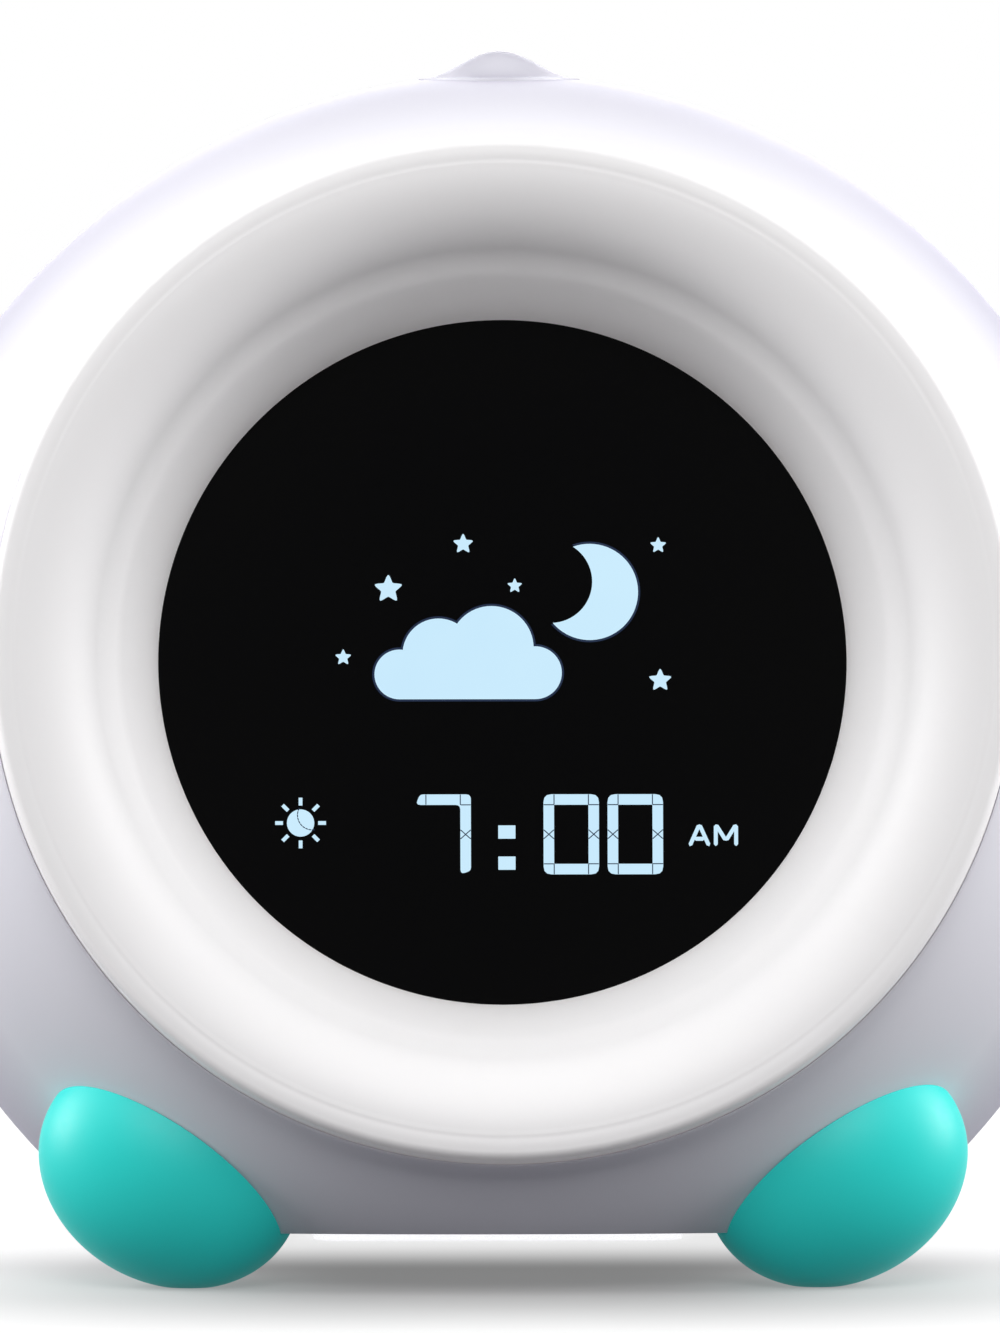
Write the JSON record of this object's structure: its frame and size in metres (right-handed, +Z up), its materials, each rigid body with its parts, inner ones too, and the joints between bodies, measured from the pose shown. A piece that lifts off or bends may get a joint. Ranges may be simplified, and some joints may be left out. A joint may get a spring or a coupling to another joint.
{
  "type": "bedside clock",
  "caption": "Round bedside clock on egg-shaped feet, with a dished night light ring round a dark display, a button on top and keys on a rear panel.",
  "frame": {"origin": "on the surface it stands on, under the middle of its box", "axes": "+X to the right seen from the front, -Y the way the face looks, +Z up"},
  "size_m": [0.1644, 0.1075, 0.1556],
  "materials": {
    "white_shell": "smooth satin-gloss moulded white plastic",
    "ring_diffuser": "translucent milky white light diffuser",
    "black_lens": "black smoked acrylic with a soft sheen",
    "display_stack": "display glass",
    "inner_white": "matte white inner moulding",
    "ribbon": "amber film",
    "lamp_board_white": "white solder mask",
    "lamp": "lamp body with phosphor",
    "board_green": "green solder mask",
    "board_part": "moulded components",
    "screw_steel": "zinc-plated steel",
    "panel_plastic": "fine matte texture",
    "key_rubber": "soft matte key",
    "switch_black": "black moulding",
    "speaker_metal": "dark painted steel",
    "speaker_paper": "black pressed paper",
    "magnet_metal": "plated magnet cup",
    "usb_metal": "bright plated shell",
    "battery_wrap": "plain printed-metal jacket without markings",
    "contact_metal": "plated spring steel",
    "foot_teal": "satin teal moulding",
    "pad_rubber": "pale silicone rubber"
  },
  "bodies": {
    "clock": {"front_shell": "white_shell", "rear_shell": "white_shell", "light_ring": "ring_diffuser", "display_lens": "black_lens", "display_glass": "display_stack", "display_carrier": "inner_white", "display_ribbon": "ribbon", "lamp_board": "lamp_board_white", "lamps": "lamp", "main_board": "board_green", "board_parts": "board_part", "ring_screws": "screw_steel", "board_screws": "screw_steel", "button_board": "board_green", "button_switch": "switch_black", "button_screws": "screw_steel", "rear_panel": "panel_plastic", "key_board": "board_green", "key_switches": "switch_black", "key_screws": "screw_steel", "speaker_basket": "speaker_metal", "speaker_cone": "speaker_paper", "speaker_magnet": "magnet_metal", "speaker_screws": "screw_steel", "usb_socket": "usb_metal", "battery_front": "battery_wrap", "battery_rear": "battery_wrap", "battery_contacts": "contact_metal", "left_foot": "foot_teal", "right_foot": "foot_teal", "foot_screws": "screw_steel", "rear_pad": "pad_rubber", "housing_screws": "screw_steel"},
    "top_button": {"top_button": "white_shell"},
    "battery_door": {"battery_door": "white_shell", "door_screw": "screw_steel"},
    "clock_key": {"clock_key": "key_rubber"},
    "alarm_key": {"alarm_key": "key_rubber"},
    "light_key": {"light_key": "key_rubber"},
    "nap_key": {"nap_key": "key_rubber"},
    "plus_key": {"plus_key": "key_rubber"},
    "minus_key": {"minus_key": "key_rubber"}
  },
  "joints": [
    {"name": "top_button_press", "type": "slide", "parent": "clock", "child": "top_button", "axis": [0, -0.0958, -0.9954], "range_m": [0, 0.0012], "stiffness_N_per_m": 800, "springref_m": -0.0005},
    {"name": "clock_key_press", "type": "slide", "parent": "clock", "child": "clock_key", "axis": [0, -0.9954, 0.0958], "range_m": [0, 0.0008], "stiffness_N_per_m": 800, "springref_m": -0.0003},
    {"name": "alarm_key_press", "type": "slide", "parent": "clock", "child": "alarm_key", "axis": [0, -0.9954, 0.0958], "range_m": [0, 0.0008], "stiffness_N_per_m": 800, "springref_m": -0.0003},
    {"name": "light_key_press", "type": "slide", "parent": "clock", "child": "light_key", "axis": [0, -0.9954, 0.0958], "range_m": [0, 0.0008], "stiffness_N_per_m": 800, "springref_m": -0.0003},
    {"name": "nap_key_press", "type": "slide", "parent": "clock", "child": "nap_key", "axis": [0, -0.9954, 0.0958], "range_m": [0, 0.0008], "stiffness_N_per_m": 800, "springref_m": -0.0003},
    {"name": "plus_key_press", "type": "slide", "parent": "clock", "child": "plus_key", "axis": [0, -0.9954, 0.0958], "range_m": [0, 0.0008], "stiffness_N_per_m": 800, "springref_m": -0.0003},
    {"name": "minus_key_press", "type": "slide", "parent": "clock", "child": "minus_key", "axis": [0, -0.9954, 0.0958], "range_m": [0, 0.0008], "stiffness_N_per_m": 800, "springref_m": -0.0003},
    {"name": "battery_door_lift_off", "type": "slide", "parent": "clock", "child": "battery_door", "axis": [0, -0.0958, -0.9954], "range_m": [0, 0.03]}
  ]
}
